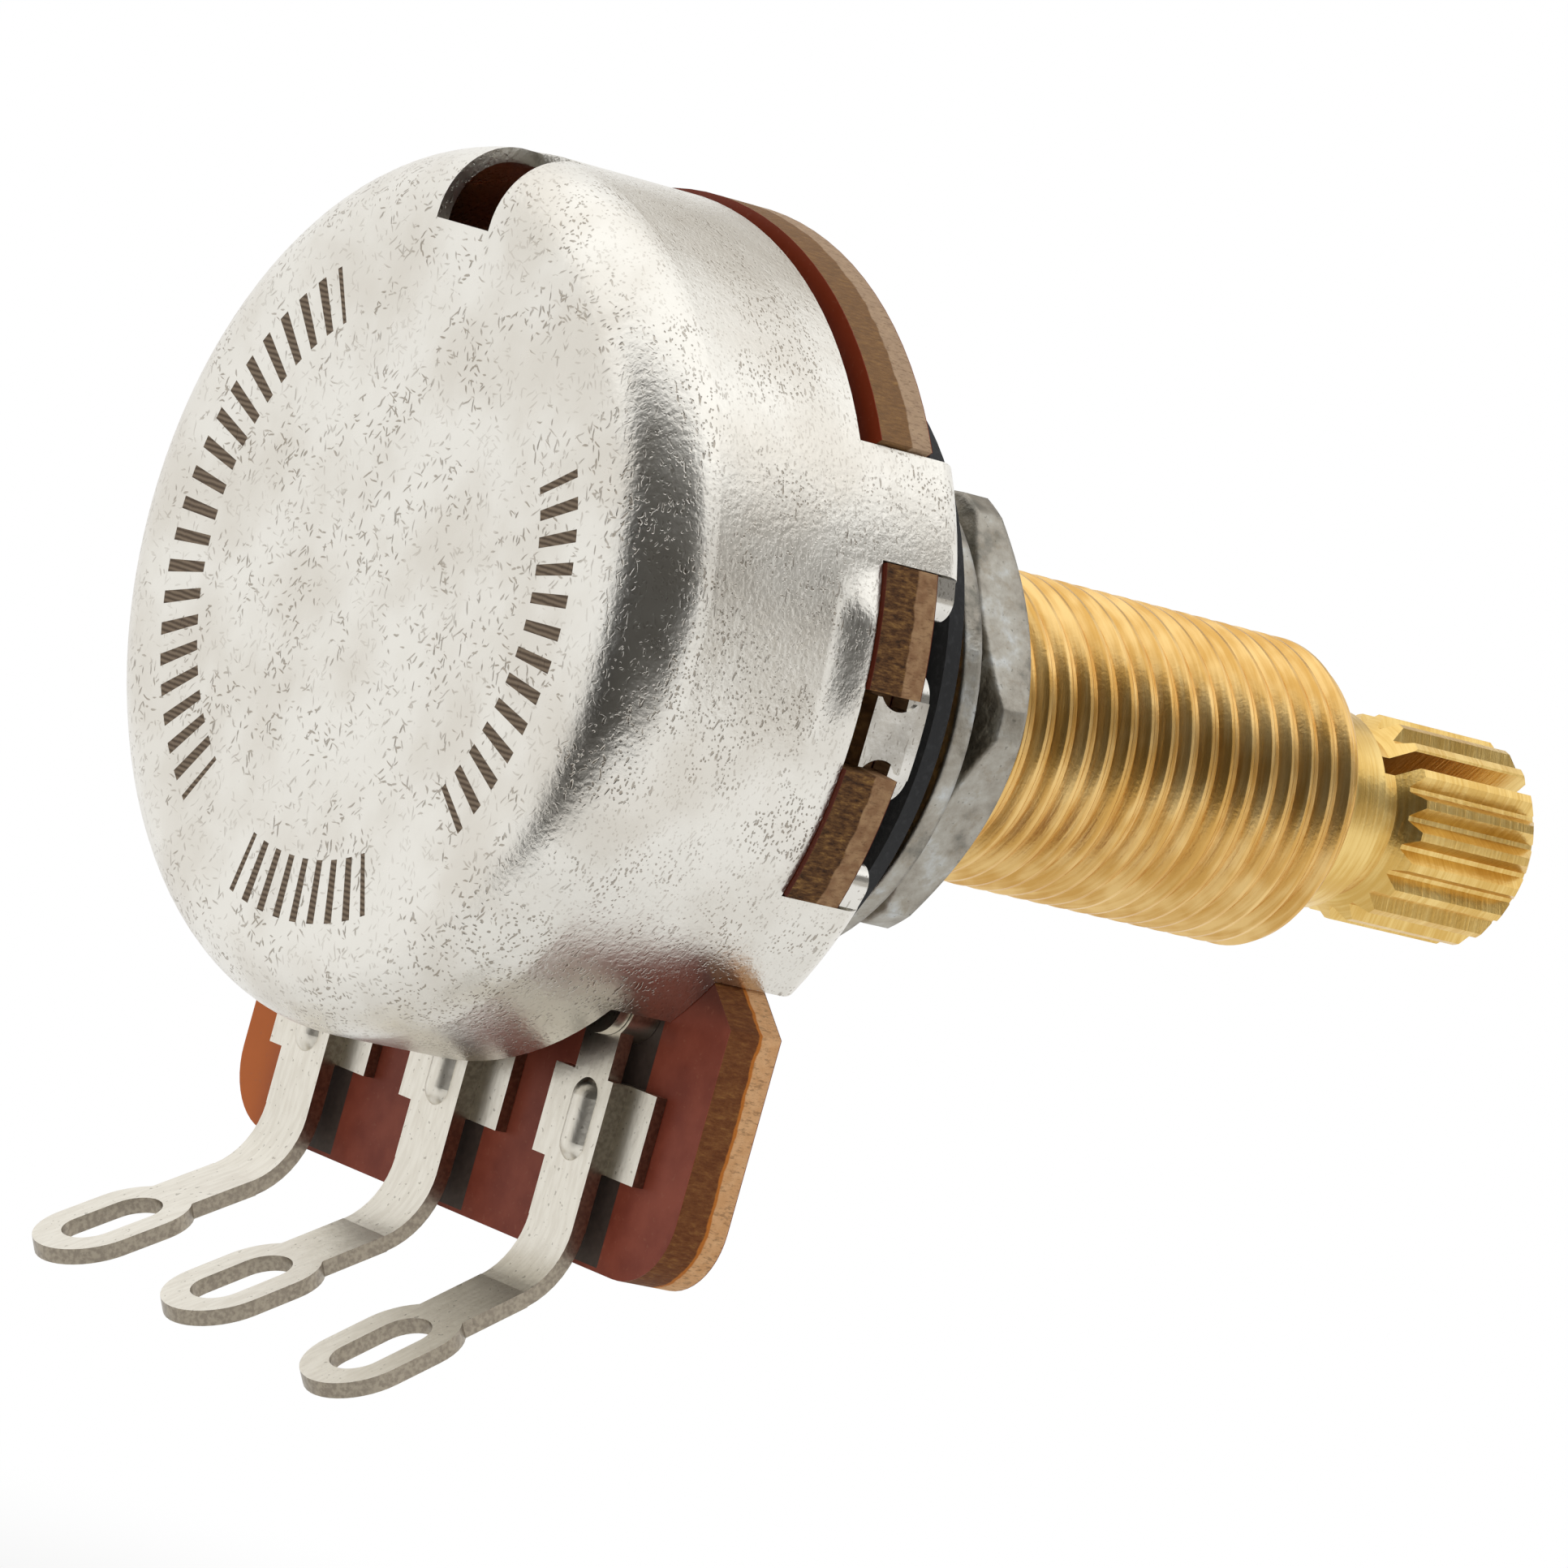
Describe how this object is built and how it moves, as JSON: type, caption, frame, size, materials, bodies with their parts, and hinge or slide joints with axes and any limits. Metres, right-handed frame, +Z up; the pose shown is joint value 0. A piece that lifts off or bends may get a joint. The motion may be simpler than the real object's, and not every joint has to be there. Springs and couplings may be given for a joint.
{
  "type": "rotary potentiometer",
  "caption": "Panel-mount rotary potentiometer with a round steel can, phenolic board with solder eyelets, long threaded brass bushing and a split splined shaft.",
  "frame": {"origin": "on the shaft axis, on the front face of the black sealing washer, where the panel's rear face sits", "axes": "+X along the shaft towards its tip, +Z up away from the terminal tongue, +Y to the side"},
  "size_m": [0.0402, 0.0242, 0.0328],
  "materials": {
    "plated_steel": "satin plating with fine scratches",
    "zinc_steel": "dull zinc plating",
    "phenolic": "semi-matte laminate",
    "carbon_film": "matte print",
    "silvered_brass": "silver plating",
    "brass": "turned",
    "spring_bronze": "rolled sheet",
    "rotor_resin": "moulded",
    "black_fibre": "matte"
  },
  "bodies": {
    "housing": {"rear_cover": "plated_steel", "wafer": "phenolic", "resistive_track": "carbon_film", "collector_ring": "silvered_brass", "terminal_left": "silvered_brass", "terminal_middle": "silvered_brass", "terminal_right": "silvered_brass", "terminal_rivets": "silvered_brass", "mounting_plate": "plated_steel", "threaded_bushing": "brass", "thrust_washer": "plated_steel", "sealing_washer": "black_fibre", "flat_washer": "plated_steel", "hex_nut": "zinc_steel"},
    "shaft_group": {"splined_shaft": "brass", "rotor": "rotor_resin", "wiper": "spring_bronze"}
  },
  "joints": [
    {"name": "shaft_turn", "type": "hinge", "parent": "housing", "child": "shaft_group", "pos_m": [0, 0, 0], "axis": [1, 0, 0], "range_deg": [-150, 150]}
  ]
}
